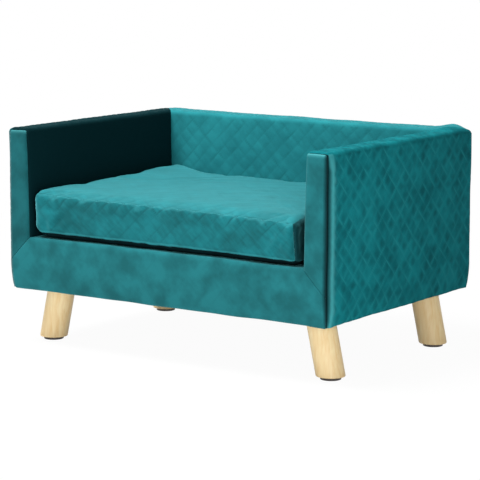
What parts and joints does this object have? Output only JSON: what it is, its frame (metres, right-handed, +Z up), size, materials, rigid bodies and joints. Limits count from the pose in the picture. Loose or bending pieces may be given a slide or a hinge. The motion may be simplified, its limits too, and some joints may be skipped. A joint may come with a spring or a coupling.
{
  "type": "dog sofa bed",
  "caption": "Small upholstered sofa for a dog: a low padded bench with arms and a back, splayed round wooden legs and a loose seat cushion with a zipped cover.",
  "frame": {"origin": "on the floor, at the centre of the footprint", "axes": "+X to the right as seen from the front, along the sofa's length; +Y from the open front to the back; +Z up"},
  "size_m": [0.64, 0.45, 0.367],
  "materials": {
    "sofa_velvet": "matte",
    "cushion_velvet": "matte",
    "plywood": "matte",
    "pine": "matte",
    "foam": "matte",
    "wadding": "matte",
    "lining_cloth": "matte",
    "dust_cloth": "matte",
    "leg_wood": "satin",
    "glide_plastic": "matte",
    "zinc_steel": "satin",
    "zip_tape": "matte",
    "zip_coil": "satin",
    "zip_metal": "satin"
  },
  "bodies": {
    "sofa": {"arm_cover_left": "sofa_velvet", "arm_cover_right": "sofa_velvet", "arm_front_left": "sofa_velvet", "arm_front_right": "sofa_velvet", "front_rail_cover": "sofa_velvet", "back_cover": "sofa_velvet", "outer_back_cover": "sofa_velvet", "arm_board_left": "plywood", "arm_board_right": "plywood", "back_board": "plywood", "base_board": "plywood", "front_rail_board": "plywood", "seat_deck": "plywood", "seat_cleats": "pine", "corner_posts": "pine", "arm_pad_left": "foam", "arm_pad_right": "foam", "back_pad": "foam", "front_rail_pad": "foam", "seat_deck_cloth": "lining_cloth", "dust_cover": "dust_cloth", "leg_front_left": "leg_wood", "glide_front_left": "glide_plastic", "leg_front_right": "leg_wood", "glide_front_right": "glide_plastic", "leg_rear_left": "leg_wood", "glide_rear_left": "glide_plastic", "leg_rear_right": "leg_wood", "glide_rear_right": "glide_plastic", "frame_screws": "zinc_steel", "tee_nuts": "zinc_steel", "hanger_bolts": "zinc_steel", "glide_screws": "zinc_steel", "staples": "zinc_steel"},
    "cushion": {"cushion_foam": "foam", "cushion_wadding": "wadding", "cushion_cover": "cushion_velvet", "cushion_base": "cushion_velvet", "zip_tapes": "zip_tape", "zip_coils": "zip_coil", "zip_stops": "zip_metal"},
    "zip_slider": {"zip_slider": "zip_metal"}
  },
  "joints": [
    {"name": "cushion_lift", "type": "slide", "parent": "sofa", "child": "cushion", "axis": [0, 0, 1], "range_m": [0, 0.2]},
    {"name": "zip_slide", "type": "slide", "parent": "cushion", "child": "zip_slider", "axis": [-1, 0, 0], "range_m": [0, 0.4025]}
  ]
}
